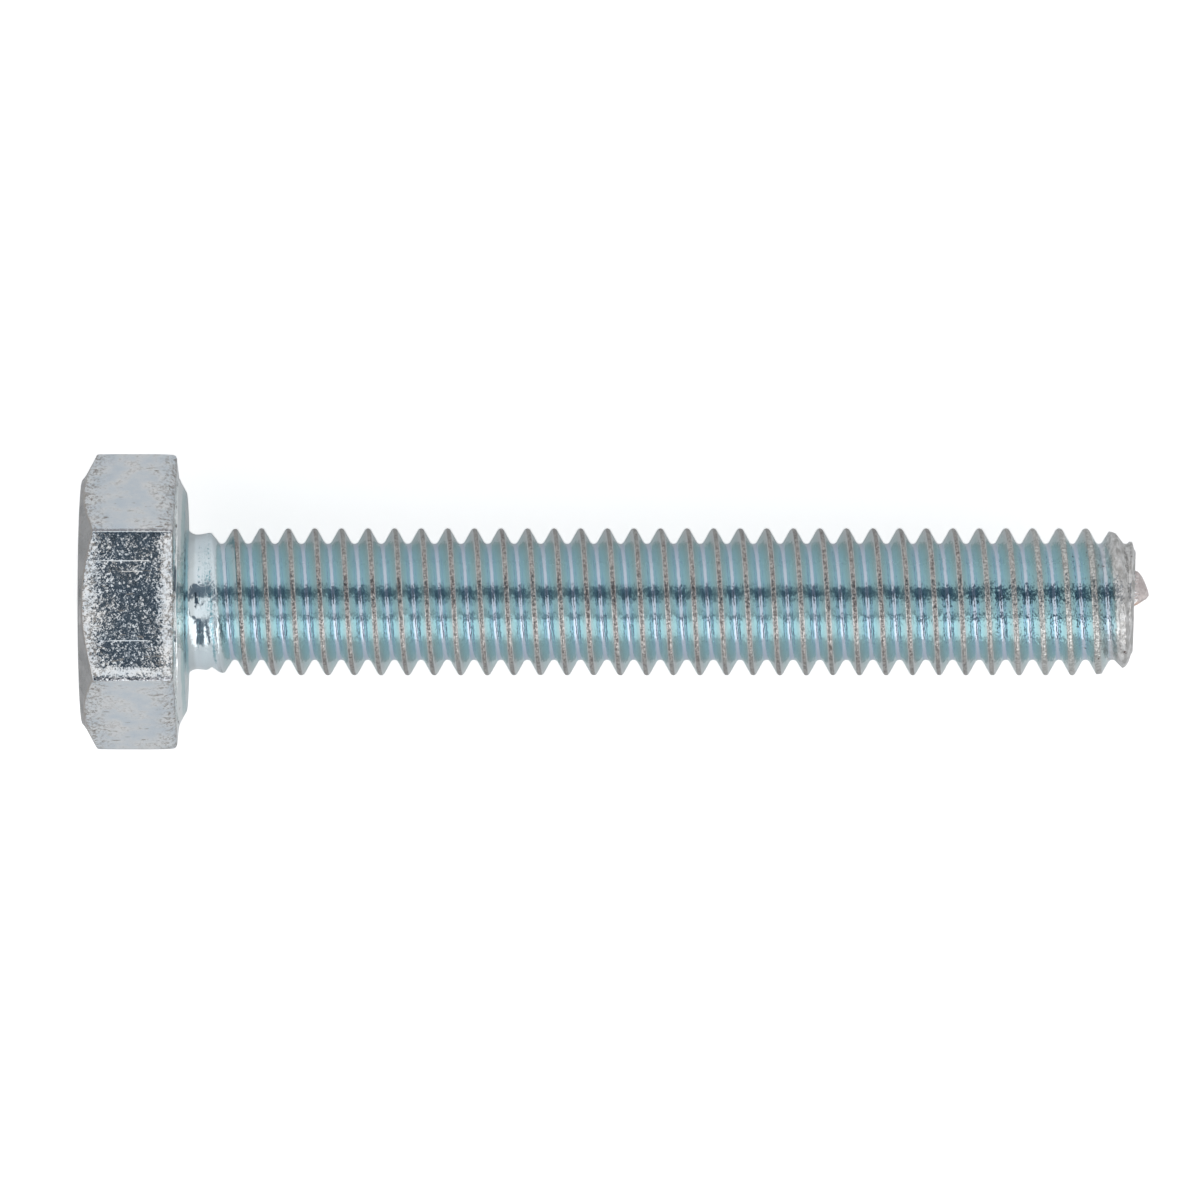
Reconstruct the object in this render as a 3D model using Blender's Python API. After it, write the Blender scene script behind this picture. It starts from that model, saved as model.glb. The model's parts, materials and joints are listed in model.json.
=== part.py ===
"""Hexagon head set screw, M4 x 0.7 x 25, threaded up to the head.

The real screw is one piece of steel wire: its head is upset cold, its hexagon is trimmed to shape,
and its thread is rolled into the shank. So it is one solid here too.

It lies along +X, from the flat top of the head at X = 0 to the tip. Two of its six flats face
+Z and -Z, and two of its corners point along +Y and -Y. Lengths are in metres.
"""

import math

import bmesh
import bpy

MM = 0.001

# Head
HEAD_HEIGHT = 2.76 * MM
ACROSS_FLATS = 6.82 * MM
CORNER_ROUNDING = 0.17 * MM
BLANK_RADIUS = 0.6 * ACROSS_FLATS  # the upset head before it is trimmed, beyond the corners
CHAMFER_CIRCLE_RADIUS = 3.19 * MM
CHAMFER_ANGLE = math.radians(30)
HEXAGON_END = 2.45 * MM  # where the corners stop, below the bearing face
CONE_FOOT_RADIUS = 3.17 * MM  # where the underside's flat cone meets the washer's steep one
CONE_FOOT_AT = 2.60 * MM
WASHER_RADIUS = 2.88 * MM

# Shank
LENGTH = 25.0 * MM
NECK_RADIUS = 1.765 * MM  # the wire before its thread is rolled
FILLET_RADIUS = 0.28 * MM
NECK_END = HEAD_HEIGHT + 0.40 * MM

# Thread
PITCH = 0.70 * MM
CREST_RADIUS = 1.938 * MM
ROOT_RADIUS = 1.552 * MM
CREST_HALF_WIDTH = 0.05 * MM
ROOT_HALF_WIDTH = 0.065 * MM
CREST_AT = 0.53 * MM  # a crest's distance along X where it passes +Y
ROOT_RUNS_OUT = (HEAD_HEIGHT + 0.50 * MM, HEAD_HEIGHT + 0.90 * MM)
CREST_RUNS_OUT = (HEAD_HEIGHT + 0.30 * MM, HEAD_HEIGHT + 1.50 * MM)

# Tip
TIP = HEAD_HEIGHT + LENGTH
TIP_ROUNDING_LENGTH = 1.50 * MM
TIP_FACE_RADIUS = 1.35 * MM
THREAD_END = TIP - 0.06 * MM
DISH_RADIUS = 0.95 * MM
DISH_DEPTH = 0.08 * MM

# The torn burr that the shears leave on the wire's cut end: height above the tip's face,
# centre along Y, half its width along Y, half its width along Z
BURR_SECTIONS = [
    (-0.25 * MM, 0.35 * MM, 0.48 * MM, 0.38 * MM),
    (0.00 * MM, 0.35 * MM, 0.48 * MM, 0.38 * MM),
    (0.16 * MM, 0.35 * MM, 0.37 * MM, 0.29 * MM),
    (0.28 * MM, 0.28 * MM, 0.25 * MM, 0.18 * MM),
    (0.35 * MM, 0.22 * MM, 0.13 * MM, 0.09 * MM),
]
BURR_PEAK = (0.40 * MM, 0.18 * MM)
BURR_SIDES = 10

SIDES = 24  # facets round the axis, a multiple of the hexagon's six
FIRST_SIDE = 0.5 / SIDES  # turned so that each of the hexagon's corners meets a facet's middle
FILLET_STEPS = 3
CORNER_STEPS = 3
CUTTER_CLEARANCE = 1.0 * MM
SAME_POINT = 1e-4 * MM
SMOOTH_UNDER = math.radians(25)


def smoothstep(low, high, value):
    """0 below low, 1 above high, and a smooth rise between."""
    share = min(max((value - low) / (high - low), 0.0), 1.0)
    return share * share * (3 - 2 * share)


def round_axis(along, radius, turn):
    """The point at that distance along X and from the axis, turned from +Y towards +Z."""
    angle = 2 * math.pi * turn
    return along, radius * math.cos(angle), radius * math.sin(angle)


def thread_radius(along, turn):
    """The radius of a right-hand thread with flat crests and roots, at a place on the shank."""
    pitches = (along - CREST_AT) / PITCH - turn
    from_crest = abs(pitches - round(pitches)) * PITCH
    flank = (from_crest - CREST_HALF_WIDTH) / (PITCH / 2 - CREST_HALF_WIDTH - ROOT_HALF_WIDTH)
    radius = CREST_RADIUS + (ROOT_RADIUS - CREST_RADIUS) * min(max(flank, 0.0), 1.0)
    run_out = CREST_RUNS_OUT if radius > NECK_RADIUS else ROOT_RUNS_OUT
    radius = NECK_RADIUS + (radius - NECK_RADIUS) * smoothstep(*run_out, along)
    return min(radius, tip_radius(along))


def tip_radius(along):
    """The largest radius near the tip: a quarter of an ellipse that rounds the last crests off."""
    inwards = min((TIP - along) / TIP_ROUNDING_LENGTH, 1.0)
    bulge = math.sqrt(1 - (1 - inwards) ** 2)
    return TIP_FACE_RADIUS + (CREST_RADIUS - TIP_FACE_RADIUS) * bulge


def head_outline():
    """The turned shape that the hexagon is trimmed from, as (along, radius), down to the neck."""
    chamfer_end = (BLANK_RADIUS - CHAMFER_CIRCLE_RADIUS) * math.tan(CHAMFER_ANGLE)
    cone_slope = (CONE_FOOT_AT - HEXAGON_END) / (ACROSS_FLATS / math.sqrt(3) - CONE_FOOT_RADIUS)
    cone_start = CONE_FOOT_AT - (BLANK_RADIUS - CONE_FOOT_RADIUS) * cone_slope
    outline = [
        (0.0, CHAMFER_CIRCLE_RADIUS),
        (chamfer_end, BLANK_RADIUS),
        (cone_start, BLANK_RADIUS),
        (CONE_FOOT_AT, CONE_FOOT_RADIUS),
        (HEAD_HEIGHT, WASHER_RADIUS),
    ]
    for step in range(FILLET_STEPS + 1):
        angle = math.pi / 2 * step / FILLET_STEPS
        along = HEAD_HEIGHT + FILLET_RADIUS * (1 - math.cos(angle))
        radius = NECK_RADIUS + FILLET_RADIUS * (1 - math.sin(angle))
        outline.append((along, radius))
    return outline


def side_turn(side):
    return FIRST_SIDE + side / SIDES


def add_ring(mesh, along, radius):
    return [mesh.verts.new(round_axis(along, radius, side_turn(side))) for side in range(SIDES)]


def join_rings(mesh, first, second):
    """Quads between two rings of the same number of points, the second further along X."""
    count = len(first)
    for here in range(count):
        there = (here + 1) % count
        mesh.faces.new((first[here], first[there], second[there], second[here]))


def add_thread(mesh):
    """The thread's skin. Its edges follow the helix, cut off square at both ends.

    Returns the rings of points at its two ends.
    """
    flank_foot = PITCH / 2 - ROOT_HALF_WIDTH
    rows_in_pitch = [-CREST_HALF_WIDTH, CREST_HALF_WIDTH, flank_foot, PITCH - flank_foot]
    first_pitch = math.floor((NECK_END - CREST_AT) / PITCH) - 2
    last_pitch = math.ceil((THREAD_END - CREST_AT) / PITCH) + 1
    rows = [
        CREST_AT + pitch * PITCH + offset
        for pitch in range(first_pitch, last_pitch)
        for offset in rows_in_pitch
    ]
    made = {}

    def point(side, row_at):
        along = min(max(row_at + PITCH * side_turn(side), NECK_END), THREAD_END)
        turn = side_turn(side % SIDES)
        key = turn, round(along / SAME_POINT)
        if key not in made:
            made[key] = mesh.verts.new(round_axis(along, thread_radius(along, turn), turn))
        return made[key]

    for low, high in zip(rows, rows[1:]):
        for side in range(SIDES):
            corners = [
                point(side, low),
                point(side + 1, low),
                point(side + 1, high),
                point(side, high),
            ]
            corners = list(dict.fromkeys(corners))
            if len(corners) > 2:
                mesh.faces.new(corners)
    start = [point(side, rows[0] - PITCH) for side in range(SIDES)]
    end = [point(side, rows[-1] + PITCH) for side in range(SIDES)]
    return start, end


def add_mesh(name, mesh):
    """A new object with this bmesh, its normals pointing outwards."""
    bmesh.ops.recalc_face_normals(mesh, faces=mesh.faces[:])
    data = bpy.data.meshes.new(name)
    mesh.to_mesh(data)
    mesh.free()
    made = bpy.data.objects.new(name, data)
    bpy.context.collection.objects.link(made)
    return made


def turned_and_rolled_body():
    """The whole screw with its head still round: a turned outline, the thread and the dished tip."""
    mesh = bmesh.new()
    rings = [add_ring(mesh, along, radius) for along, radius in head_outline()]
    thread_start, thread_end = add_thread(mesh)
    rings.append(thread_start)
    for first, second in zip(rings, rings[1:]):
        join_rings(mesh, first, second)
    mesh.faces.new(rings[0])

    rim = add_ring(mesh, TIP, TIP_FACE_RADIUS)
    dish = add_ring(mesh, TIP - DISH_DEPTH, DISH_RADIUS)
    join_rings(mesh, thread_end, rim)
    join_rings(mesh, rim, dish)
    mesh.faces.new(dish)
    return add_mesh("hex_bolt", mesh)


def hexagon_cutter():
    """A thick tube with a hexagonal bore: what the trimming die takes off the round head."""
    mesh = bmesh.new()
    bore = []
    for along in (-CUTTER_CLEARANCE, HEAD_HEIGHT + CUTTER_CLEARANCE):
        corners = [round_axis(along, ACROSS_FLATS / math.sqrt(3), side / 6) for side in range(6)]
        bore.append([mesh.verts.new(corner) for corner in corners])
    join_rings(mesh, *bore)
    corner_edges = [edge for edge in mesh.edges if not edge.is_boundary]
    bmesh.ops.bevel(
        mesh,
        geom=corner_edges,
        offset=CORNER_ROUNDING * math.tan(math.radians(30)),
        segments=CORNER_STEPS,
        affect="EDGES",
        profile=0.5,
    )
    rims = [edge for edge in mesh.edges if edge.is_boundary]
    outer = bmesh.ops.extrude_edge_only(mesh, edges=rims)["geom"]
    for vert in (item for item in outer if isinstance(item, bmesh.types.BMVert)):
        vert.co.y *= 2
        vert.co.z *= 2
    bmesh.ops.bridge_loops(mesh, edges=[edge for edge in mesh.edges if edge.is_boundary])
    return add_mesh("hexagon_cutter", mesh)


def burr():
    """The torn lump on the tip, a stack of ovals that lean and shrink towards its peak."""
    mesh = bmesh.new()
    rings = []
    for height, centre, half_y, half_z in BURR_SECTIONS:
        ring = []
        for side in range(BURR_SIDES):
            angle = 2 * math.pi * (side + 0.5) / BURR_SIDES
            place = (TIP + height, centre + half_y * math.cos(angle), half_z * math.sin(angle))
            ring.append(mesh.verts.new(place))
        rings.append(ring)
    for first, second in zip(rings, rings[1:]):
        join_rings(mesh, first, second)
    mesh.faces.new(rings[0])
    peak = mesh.verts.new((TIP + BURR_PEAK[0], BURR_PEAK[1], 0.0))
    for here in range(BURR_SIDES):
        mesh.faces.new((rings[-1][here], rings[-1][(here + 1) % BURR_SIDES], peak))
    return add_mesh("tip_burr", mesh)


def combine(target, tool, operation):
    """A Boolean on target. The tool stays in the scene as a hidden helper."""
    modifier = target.modifiers.new(tool.name, "BOOLEAN")
    modifier.operation = operation
    modifier.object = tool
    tool.hide_render = True
    tool.display_type = "WIRE"


def zinc_plate():
    """Zinc with a blue passivation, as a plain material."""
    material = bpy.data.materials.new("blue_passivated_zinc")
    material.use_nodes = True
    shader = material.node_tree.nodes["Principled BSDF"]
    shader.inputs["Base Color"].default_value = (0.45, 0.60, 0.65, 1)
    shader.inputs["Metallic"].default_value = 1.0
    shader.inputs["Roughness"].default_value = 0.28
    return material


def main():
    for existing in list(bpy.data.objects):
        bpy.data.objects.remove(existing)
    bolt = turned_and_rolled_body()
    bolt.data.materials.append(zinc_plate())
    bolt.data.shade_smooth()
    bolt.data.set_sharp_from_angle(angle=SMOOTH_UNDER)
    combine(bolt, hexagon_cutter(), "DIFFERENCE")
    combine(bolt, burr(), "UNION")


main()
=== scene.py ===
# %% [markdown]
# # A zinc-plated hexagon screw
# The screw is one piece of steel wire. A press upsets one end cold into a head, a die trims the head
# to a hexagon, two flat dies roll the thread, and the finished screw is plated with zinc and dipped
# in a blue passivation. Nearly all that a buyer sees comes from those steps: rounded corners,
# a thread with soft crests, a torn stub where the shears cut the wire, and a thin film with a tint.
# This lesson builds the screw in that order as one closed mesh, and then plates and lights it.

# %% Load the frame
import json
import math

import bmesh
import bpy
import numpy as np
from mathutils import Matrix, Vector, noise


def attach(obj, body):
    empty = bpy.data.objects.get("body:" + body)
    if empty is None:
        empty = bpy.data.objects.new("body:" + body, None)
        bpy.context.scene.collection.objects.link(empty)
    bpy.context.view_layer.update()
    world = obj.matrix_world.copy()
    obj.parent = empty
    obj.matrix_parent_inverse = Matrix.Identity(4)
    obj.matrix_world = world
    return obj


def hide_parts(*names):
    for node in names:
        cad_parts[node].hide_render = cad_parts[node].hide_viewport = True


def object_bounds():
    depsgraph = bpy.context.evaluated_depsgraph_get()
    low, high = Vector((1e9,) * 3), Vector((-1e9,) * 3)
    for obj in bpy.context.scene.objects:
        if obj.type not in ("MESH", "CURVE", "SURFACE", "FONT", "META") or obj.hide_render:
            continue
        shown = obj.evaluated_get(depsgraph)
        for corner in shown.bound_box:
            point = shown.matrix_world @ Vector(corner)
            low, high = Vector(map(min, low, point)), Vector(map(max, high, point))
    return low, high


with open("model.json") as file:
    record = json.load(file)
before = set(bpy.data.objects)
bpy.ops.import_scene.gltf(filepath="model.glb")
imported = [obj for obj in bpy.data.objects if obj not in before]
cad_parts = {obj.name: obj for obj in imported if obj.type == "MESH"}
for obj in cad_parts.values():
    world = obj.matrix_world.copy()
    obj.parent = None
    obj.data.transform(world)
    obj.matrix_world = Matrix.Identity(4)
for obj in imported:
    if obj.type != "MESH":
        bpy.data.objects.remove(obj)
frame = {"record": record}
cad_low, cad_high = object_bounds()
MM = 0.001
print("CAD box in mm:", [round(v / MM, 3) for v in (*cad_low, *cad_high)])

# %% [markdown]
# ## Where everything goes
# The plain solid already has the right size, so its box and its mounts give the main sizes: the
# length, the width across the flats and the place of the bearing face under the head. The other
# sizes below are those of an M4 screw. Everything is in millimetres until the mesh is made, because
# a thread's sizes are easier to read as 0.70 than as 0.0007.

# %% Main sizes
mounts = {mount["name"]: mount for mount in frame["record"]["mounts"]}
BURR_HEIGHT = 0.40
BEARING = mounts["bearing_face"]["pos_m"][0] / MM
HALF_FLATS = cad_high.z / MM
TIP = cad_high.x / MM - BURR_HEIGHT
NECK = 1.735
NECK_SLOPE = 0.12
NECK_SLOPE_LENGTH = 0.52
PITCH = 0.70
CREST = 1.938
ROOT = 1.530
print("head", round(BEARING, 2), "mm, under the head", round(TIP - BEARING, 2), "mm")

# %% [markdown]
# ## The hexagon
# Seen from the top, a trimmed hexagon isn't six straight lines. The die drags a little metal with it,
# so that each flat rolls off by some degrees before its trailing corner, and meets the next flat in
# a small round corner. A bevelled six-sided cylinder would be quicker, but it has no roll-off, and
# that narrow strip is what catches the light along a real corner. So one flat is drawn as a path of
# a straight line and four arcs, with complex numbers: an arc's chord is the change of its heading,
# turned by a right angle and multiplied by its radius. The roll-off is three of the arcs, each with
# its width, the heading in degrees that it reaches, and its number of steps.

# %% One flat
CORNER_ROUNDING = 0.13
ROUNDING_STEPS = 7
LEVEL_STEPS = 12
ROLL_OFF = [(0.04, 4, 2), (0.22, 12.5, 2), (0.07, 17, 1)]
SIXTH = math.radians(60)


def arc_path(radius, first_heading, last_heading, steps):
    """Points of an arc from its start at 0, between two headings in radians."""
    headings = np.linspace(first_heading, last_heading, steps + 1)
    return (np.exp(1j * headings) - np.exp(1j * first_heading)) * radius / 1j


curved = np.zeros(1)
heading = 0.0
for width, degrees, steps in ROLL_OFF:
    reached = math.radians(degrees)
    rolled = arc_path(width / (reached - heading), heading, reached, steps)
    curved = np.concatenate([curved, curved[-1] + rolled[1:]])
    heading = reached
rounded = arc_path(CORNER_ROUNDING, heading, SIXTH, ROUNDING_STEPS)
curved = np.concatenate([curved, curved[-1] + rounded[1:]])
reach = curved[-1]
straight_length = (HALF_FLATS - reach.imag * math.cos(SIXTH)) / math.sin(SIXTH) - reach.real
level = np.linspace(0, straight_length, LEVEL_STEPS + 1)
one_flat = np.concatenate([level[:-1], straight_length + curved[:-1]])
print("a flat is level over", round(straight_length, 2), "mm")

# %% [markdown]
# The path closes after six flats when its start is at the right place from the axis, which one
# division gives. The result is the list of columns that the whole mesh shares, from the head's top to
# the tip: each column is a turn round the axis, counted from +Y towards +Z, and the hexagon's
# radius there.

# %% The columns
sixth_turn = np.exp(1j * SIXTH)
start = (straight_length + reach) / (sixth_turn - 1)
outline = np.concatenate([-(start + one_flat) * sixth_turn**flat for flat in range(6)])
TURNS = np.unwrap(np.angle(outline)) / math.tau
HEXAGON = np.abs(outline)
COLUMNS = len(TURNS)
print(COLUMNS, "columns, across the corners", round(2 * HEXAGON.max(), 3), "mm")

# %% [markdown]
# ## The head
# The head is a turned shape trimmed by the hexagon: a flat top, a 30 degree chamfer, the flats,
# a slightly coned underside and the raised washer face. Cutting one solid with another would leave
# sharp edges that a bevel can't follow well where the chamfer meets a flat in a curve. So each
# column gets its own outline instead, with its hexagon radius put in, and every corner of that
# outline is rounded with an arc. The curved edges then come out by themselves.

# %% Rounding a corner
def arc_at(before, corner, after, radius, steps):
    """Points of the arc that rounds a corner, for all columns at once, as (step, column, 2)."""
    back = before - corner
    ahead = after - corner
    back = back / np.linalg.norm(back, axis=-1, keepdims=True)
    ahead = ahead / np.linalg.norm(ahead, axis=-1, keepdims=True)
    half = np.arccos(np.clip((back * ahead).sum(-1, keepdims=True), -1, 1)) / 2
    middle = back + ahead
    middle = middle / np.linalg.norm(middle, axis=-1, keepdims=True)
    centre = corner + middle * radius / np.sin(half)
    first = corner + back * radius / np.tan(half) - centre
    last = corner + ahead * radius / np.tan(half) - centre
    sweep = math.pi - 2 * half
    shares = np.linspace(0, 1, steps + 1)[:, None, None]
    spoke = np.sin((1 - shares) * sweep) * first + np.sin(shares * sweep) * last
    return centre + spoke / np.sin(sweep)


# %% The head's outline
CHAMFER_CIRCLE = 3.19
CHAMFER = math.tan(math.radians(30))
CONE_FOOT = (2.60, 3.17)
FLAT_LENGTH = 2.51
UNDERSIDE_SLOPE = 0.02
WASHER_EDGE = 2.88
FILLET = 0.28
TOP_EDGE, CHAMFER_EDGE, LOWER_EDGE, WASHER_ROUNDING = 0.12, 0.05, 0.10, 0.06


def chamfer_line(outer):
    """Where the chamfer meets the hexagon, along the axis."""
    return (outer - CHAMFER_CIRCLE) * CHAMFER


def lower_line(outer):
    """Where the underside meets the hexagon, along the axis."""
    return FLAT_LENGTH - (outer - HALF_FLATS) * UNDERSIDE_SLOPE


def place(along, radius):
    """One corner of the outline for every column, as (column, 2)."""
    return np.stack(np.broadcast_arrays(along, radius * np.ones(COLUMNS)), axis=-1)


centre_top = place(0.0, 0.0)
chamfer_start = place(0.0, CHAMFER_CIRCLE)
chamfer_end = place(chamfer_line(HEXAGON), HEXAGON)
underside_start = place(lower_line(HEXAGON), HEXAGON)
cone_foot = place(*CONE_FOOT)
washer_edge = place(BEARING, WASHER_EDGE)
fillet_start = place(BEARING, NECK + FILLET)
fillet_corner = place(BEARING, NECK)
up_the_neck = place(BEARING + 1, NECK + NECK_SLOPE)

# %% [markdown]
# Straight stretches between the arcs get a few rows of their own, so that the flats can be bowed
# a little and the colours that are painted on the points later have somewhere to sit. The flats'
# rows are bunched towards the underside, where the flats roll over and a coarse step would show.

# %% The head's rows
def straight(first, last, rows, bunched=1.0):
    """Rows between two rows, without the ends. Above 1, bunched crowds them towards the last."""
    shares = 1 - (1 - np.linspace(0, 1, rows + 2)[1:-1, None, None]) ** bunched
    return first * (1 - shares) + last * shares


top_arc = arc_at(centre_top, chamfer_start, chamfer_end, TOP_EDGE, 3)
chamfer_arc = arc_at(chamfer_start, chamfer_end, underside_start, CHAMFER_EDGE, 3)
lower_arc = arc_at(chamfer_end, underside_start, cone_foot, LOWER_EDGE, 4)
foot_arc = arc_at(underside_start, cone_foot, washer_edge, WASHER_ROUNDING, 2)
washer_arc = arc_at(cone_foot, washer_edge, fillet_start, WASHER_ROUNDING, 3)
fillet_arc = arc_at(washer_edge, fillet_corner, up_the_neck, FILLET, 6)
sections = [
    centre_top[None],
    straight(centre_top, top_arc[0], 14),
    top_arc,
    straight(top_arc[-1], chamfer_arc[0], 4),
    chamfer_arc,
    straight(chamfer_arc[-1], lower_arc[0], 13, 1.6),
    lower_arc,
    straight(lower_arc[-1], foot_arc[0], 3),
    foot_arc,
    straight(foot_arc[-1], washer_arc[0], 2),
    washer_arc,
    straight(washer_arc[-1], fillet_arc[0], 4),
    fillet_arc,
]
head_rows = np.concatenate(sections)
print("the head has", len(head_rows), "rows")

# %% [markdown]
# ## The thread
# Rolling pushes the metal up from the root into a rounded crest, so the profile is two arcs joined
# by straight flanks that stand 60 degrees apart. A Screw modifier could sweep that profile, but it
# can't fade the thread out under the head or round it off at the tip. Here the same profile
# is a function instead, which gives the shank's radius anywhere, and a grid that leans with the
# thread reads it.

# %% The thread's profile
CREST_ARC = 0.09
ROOT_ARC = 0.12
FLANK = math.radians(60)
crest_foot = CREST_ARC * math.sin(FLANK)
root_foot = PITCH / 2 - ROOT_ARC * math.sin(FLANK)
steps = np.radians([0, 20, 40, 60])
half_profile_at = np.concatenate(
    [CREST_ARC * np.sin(steps), PITCH / 2 - ROOT_ARC * np.sin(steps[::-1])]
)
half_profile = np.concatenate(
    [CREST - CREST_ARC * (1 - np.cos(steps)), ROOT + ROOT_ARC * (1 - np.cos(steps[::-1]))]
)
print("flank from", round(crest_foot, 3), "to", round(root_foot, 3), "mm beside the crest")

# %% [markdown]
# Under the head the rolling dies end, and the thread fades into the plain wire over a turn or two.
# At the tip the wire was slightly pointed by the shears, so the last crests get lower. The
# thread is right-handed: it moves away from the head as it turns from +Y to +Z.

# %% The shank's radius
CREST_AT = 0.53
NECK_END = BEARING + 0.40
ROOT_FADE = (BEARING + 0.50, BEARING + 0.90)
CREST_FADE = (BEARING + 0.30, BEARING + 1.50)
POINT_LENGTH = 1.50
POINT_RADIUS = 1.38
THREAD_END = TIP - 0.10


def fade(low, high, value):
    """0 below low, 1 above high, and smooth between them."""
    share = np.clip((value - low) / (high - low), 0, 1)
    return share * share * (3 - 2 * share)


def beside_crest(along, turn):
    """How far a place is from the nearest crest, along the axis."""
    pitches = (along - CREST_AT) / PITCH - turn
    return np.abs(pitches - np.round(pitches)) * PITCH


def point_limit(along):
    """The largest radius near the tip, a quarter of an ellipse."""
    inwards = np.clip((TIP - along) / POINT_LENGTH, 0, 1)
    return POINT_RADIUS + (CREST - POINT_RADIUS) * np.sqrt(1 - (1 - inwards) ** 2)


def neck_radius(along):
    """The plain neck, which widens a little towards the thread."""
    return NECK + NECK_SLOPE * np.clip(along - BEARING, 0, NECK_SLOPE_LENGTH)


def shank_radius(along, turn):
    """The thread, faded into the neck under the head and held inside the point at the tip."""
    radius = np.interp(beside_crest(along, turn), half_profile_at, half_profile)
    neck = neck_radius(along)
    kept = np.where(radius > neck, fade(*CREST_FADE, along), fade(*ROOT_FADE, along))
    return np.minimum(neck + (radius - neck) * kept, point_limit(along))


# %% [markdown]
# The grid's rows lie along the crests, flanks and roots, one turn after another. At both ends the
# rows are held at a straight ring, so that they pile up there; the piled-up points are merged when
# the mesh is made. The first column comes again one pitch further on, which closes the helix.

# %% The thread's grid
rows_in_pitch = np.concatenate([-half_profile_at[:0:-1], half_profile_at[:-1]])
first_pitch = math.floor((NECK_END - CREST_AT) / PITCH) - 2
last_pitch = math.ceil((THREAD_END - CREST_AT) / PITCH) + 1
pitches = np.arange(first_pitch, last_pitch)
thread_rows = (CREST_AT + pitches[:, None] * PITCH + rows_in_pitch[None, :]).ravel()
columns_closed = np.append(TURNS, TURNS[0] + 1)
thread_along = np.clip(thread_rows[:, None] + PITCH * columns_closed[None, :], NECK_END, THREAD_END)
thread_turn = np.broadcast_to(columns_closed, thread_along.shape)
thread_radius = shank_radius(thread_along, thread_turn)
print("the thread has", thread_along.shape, "points")

# %% [markdown]
# ## The tip
# The shears leave a flat end with a soft rim and a shallow dish. The wire tears over the last
# fraction of the cut and leaves a leaning stub. Because the stub never overhangs, it can be a height
# over the end face. The rings of the end face are close together, so that the stub keeps its
# steep sides.

# %% The end face
RIM_DROP = 0.04
RIM_WIDTH = 0.07
RIM_STEP = 0.03
END_RINGS = 36
DISH_RADIUS = 1.15
DISH_FLOOR_SHARE = 0.75
DISH_DEPTH = 0.07
STUB_ALONG_Y = [-0.13, 0.07, 0.16, 0.30, 0.43, 0.58, 0.71, 0.79, 0.84]
STUB_HEIGHT = [0.0, 0.31, 0.385, 0.355, 0.30, 0.235, 0.155, 0.085, 0.0]
STUB_HALF_WIDTH = 0.40


def stub_height(y, z):
    """The torn stub's height over the end face, a ridge seen from the side and a dome across."""
    ridge = np.interp(y, STUB_ALONG_Y, STUB_HEIGHT)
    across = np.clip(1 - (np.abs(z) / STUB_HALF_WIDTH) ** 2.5, 0, 1)
    return ridge * np.sqrt(across)


ring_radii = np.append(POINT_RADIUS, np.linspace(POINT_RADIUS - RIM_STEP, 0, END_RINGS))
end_radius = np.repeat(ring_radii[:, None], COLUMNS + 1, axis=1)
end_turn = np.broadcast_to(columns_closed, end_radius.shape)
end_y = end_radius * np.cos(math.tau * end_turn)
end_z = end_radius * np.sin(math.tau * end_turn)
rim = np.clip((end_radius - (POINT_RADIUS - RIM_WIDTH)) / RIM_WIDTH, 0, 1)
dish = DISH_DEPTH * (1 - fade(DISH_RADIUS * DISH_FLOOR_SHARE, DISH_RADIUS, end_radius))
stub = stub_height(end_y, end_z)
end_along = TIP - RIM_DROP * rim**2 - dish + stub + np.minimum(dish, stub)
print("the stub stands", round(end_along.max() - TIP, 3), "mm over the end")

# %% [markdown]
# ## One closed mesh
# Three grids now share the same columns: the head, the thread and the end face. They are stacked
# into one list of points, and points at the same place become one point. The piece is a single
# closed skin, as the real screw has a single skin of zinc.

# %% Join the grids
LAST_NECK_STEP = 0.06


def grid_quads(rows, columns, offset):
    """The four corners of every cell of a grid whose points are numbered row by row."""
    here = offset + np.arange(rows * columns).reshape(rows, columns)
    return np.stack([here[:-1, :-1], here[:-1, 1:], here[1:, 1:], here[1:, :-1]], -1).reshape(-1, 4)


head_closed = np.concatenate([head_rows, head_rows[:, :1]], axis=1)
neck_ring = np.stack([thread_along[0], thread_radius[0]], -1)[None]
neck_start = neck_ring - LAST_NECK_STEP * np.array([1, NECK_SLOPE])
head_closed = np.concatenate([head_closed, neck_start, neck_ring])
thread_points = np.stack([thread_along, thread_radius], -1)
end_points = np.stack([end_along, end_radius], -1)
end_points = np.concatenate([thread_points[-1:], end_points])
grids = [head_closed, thread_points, end_points]

# %% [markdown]
# The grids hold a distance along the axis and a radius. Turned into X, Y and Z they make the skin.

# %% Points and cells
along = np.concatenate([grid[..., 0].ravel() for grid in grids])
radius = np.concatenate([grid[..., 1].ravel() for grid in grids])
turn = np.concatenate([np.tile(columns_closed, len(grid)) for grid in grids])
quads = []
offset = 0
for grid in grids:
    quads.append(grid_quads(len(grid), COLUMNS + 1, offset))
    offset += grid.shape[0] * grid.shape[1]
quads = np.concatenate(quads)
points = np.stack([along, radius * np.cos(math.tau * turn), radius * np.sin(math.tau * turn)], -1)
print(len(points), "points and", len(quads), "cells before merging")

# %% [markdown]
# Merging is a matter of rounding: points whose coordinates agree to a ten-thousandth of
# a millimetre are one. Cells that lost a side in the pile-ups become triangles or vanish. The
# innermost rings of the head's top and of the end face have no radius, so each becomes one point.

# %% Merge points
SAME_PLACE = 1e-4
keys = np.round(points / SAME_PLACE).astype(np.int64)
_, first_seen, merged = np.unique(keys, axis=0, return_index=True, return_inverse=True)
merged = merged.reshape(-1)
skin = points[first_seen]
faces = []
for quad in merged[quads]:
    corners = list(dict.fromkeys(quad.tolist()))
    if len(corners) > 2:
        faces.append(corners)
print(len(skin), "points and", len(faces), "faces after merging")

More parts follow.
